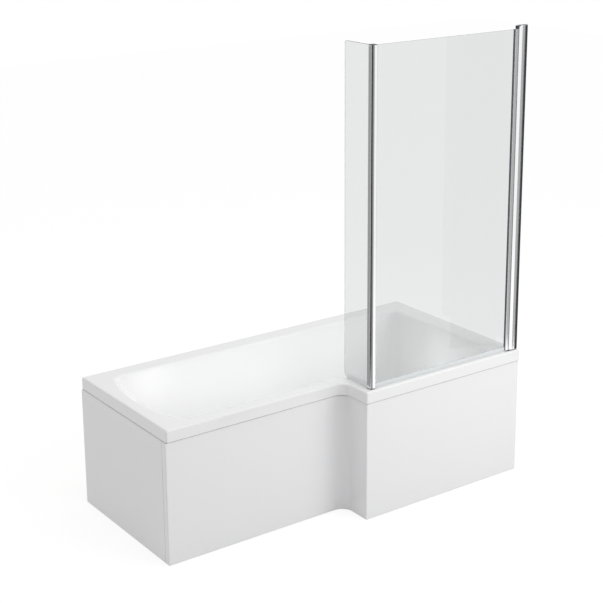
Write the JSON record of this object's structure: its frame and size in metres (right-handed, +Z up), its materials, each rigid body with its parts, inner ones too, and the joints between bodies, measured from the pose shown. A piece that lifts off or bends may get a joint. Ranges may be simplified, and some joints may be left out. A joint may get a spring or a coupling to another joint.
{
  "type": "l-shaped shower bath",
  "caption": "L-shaped acrylic shower bath with a stepped front panel, an end panel and a hinged L-shaped glass screen with bright profiles.",
  "frame": {"origin": "middle of the footprint on the floor", "axes": "+X along the bath from the head end to the shower end, +Y from the wide front face to the long wall, +Z up"},
  "size_m": [1.7072, 0.85, 1.988],
  "materials": {
    "white_acrylic": "glossy moulded acrylic",
    "panel_acrylic": "glossy moulded acrylic sheet",
    "chipboard": "sealed chipboard",
    "softwood": "planed softwood",
    "galvanised_steel": "zinc-coated sheet",
    "zinc_screw": "bright zinc plate",
    "threaded_rod": "zinc-plated rod",
    "black_plastic": "moulded",
    "dark_cap": "moulded",
    "chrome": "polished plate",
    "bright_profile": "polished aluminium extrusion",
    "mill_aluminium": "mill finish",
    "brass": "turned",
    "rubber": "moulded",
    "white_plastic": "moulded polypropylene",
    "grey_hose": "corrugated",
    "nylon": "moulded",
    "gasket": "extruded",
    "clear_glass": "toughened float glass",
    "clear_seal": "clear extruded vinyl"
  },
  "bodies": {
    "bath": {"bath_shell": "white_acrylic", "baseboard": "chipboard", "back_timber": "softwood", "head_timber": "softwood", "shower_timber": "softwood", "narrow_timber": "softwood", "wide_timber": "softwood", "head_rail": "galvanised_steel", "middle_rail": "galvanised_steel", "shower_rail": "galvanised_steel", "rail_screws": "zinc_screw", "lock_nuts": "zinc_screw", "front_panel": "panel_acrylic", "end_panel": "panel_acrylic", "floor_battens": "softwood", "panel_clips": "galvanised_steel", "clip_screws": "zinc_screw", "wall_brackets": "galvanised_steel", "bracket_screws": "zinc_screw", "waste_flange": "chrome", "waste_flange_seal": "rubber", "waste_body": "white_plastic", "waste_body_seal": "rubber", "plug_cartridge": "brass", "overflow_rosette": "chrome", "overflow_seal": "rubber", "overflow_elbow": "white_plastic", "overflow_hose": "grey_hose", "trap_inlet_nut": "white_plastic", "trap_inlet_seal": "rubber", "trap_body": "white_plastic", "trap_outlet_nut": "white_plastic", "trap_outlet_seal": "rubber", "wall_channel": "mill_aluminium", "pivot_post": "bright_profile", "post_screws": "zinc_screw", "post_caps": "dark_cap", "pivot_pins": "zinc_screw"},
    "screen": {"hinge_profile": "bright_profile", "pivot_bushes": "nylon", "glass_gaskets": "gasket", "main_glass": "clear_glass", "corner_profile": "bright_profile", "corner_caps": "dark_cap", "return_glass": "clear_glass", "bottom_seals": "clear_seal"},
    "plug": {"waste_plug": "chrome", "plug_seal": "rubber"},
    "foot_1": {"foot_rod_1": "threaded_rod", "foot_pad_1": "black_plastic"},
    "foot_2": {"foot_rod_2": "threaded_rod", "foot_pad_2": "black_plastic"},
    "foot_3": {"foot_rod_3": "threaded_rod", "foot_pad_3": "black_plastic"},
    "foot_4": {"foot_rod_4": "threaded_rod", "foot_pad_4": "black_plastic"},
    "foot_5": {"foot_rod_5": "threaded_rod", "foot_pad_5": "black_plastic"},
    "foot_6": {"foot_rod_6": "threaded_rod", "foot_pad_6": "black_plastic"}
  },
  "joints": [
    {"name": "screen_swing", "type": "hinge", "parent": "bath", "child": "screen", "pos_m": [0.7955, -0.402, 1.274], "axis": [0, 0, 1], "range_deg": [-70, 90]},
    {"name": "plug_click", "type": "slide", "parent": "bath", "child": "plug", "axis": [0, 0, 1], "range_m": [0, 0.009]},
    {"name": "foot_1_level", "type": "slide", "parent": "bath", "child": "foot_1", "axis": [0, 0, 1], "range_m": [-0.015, 0.01]},
    {"name": "foot_2_level", "type": "slide", "parent": "bath", "child": "foot_2", "axis": [0, 0, 1], "range_m": [-0.015, 0.01]},
    {"name": "foot_3_level", "type": "slide", "parent": "bath", "child": "foot_3", "axis": [0, 0, 1], "range_m": [-0.015, 0.01]},
    {"name": "foot_4_level", "type": "slide", "parent": "bath", "child": "foot_4", "axis": [0, 0, 1], "range_m": [-0.015, 0.01]},
    {"name": "foot_5_level", "type": "slide", "parent": "bath", "child": "foot_5", "axis": [0, 0, 1], "range_m": [-0.015, 0.01]},
    {"name": "foot_6_level", "type": "slide", "parent": "bath", "child": "foot_6", "axis": [0, 0, 1], "range_m": [-0.015, 0.01]}
  ]
}
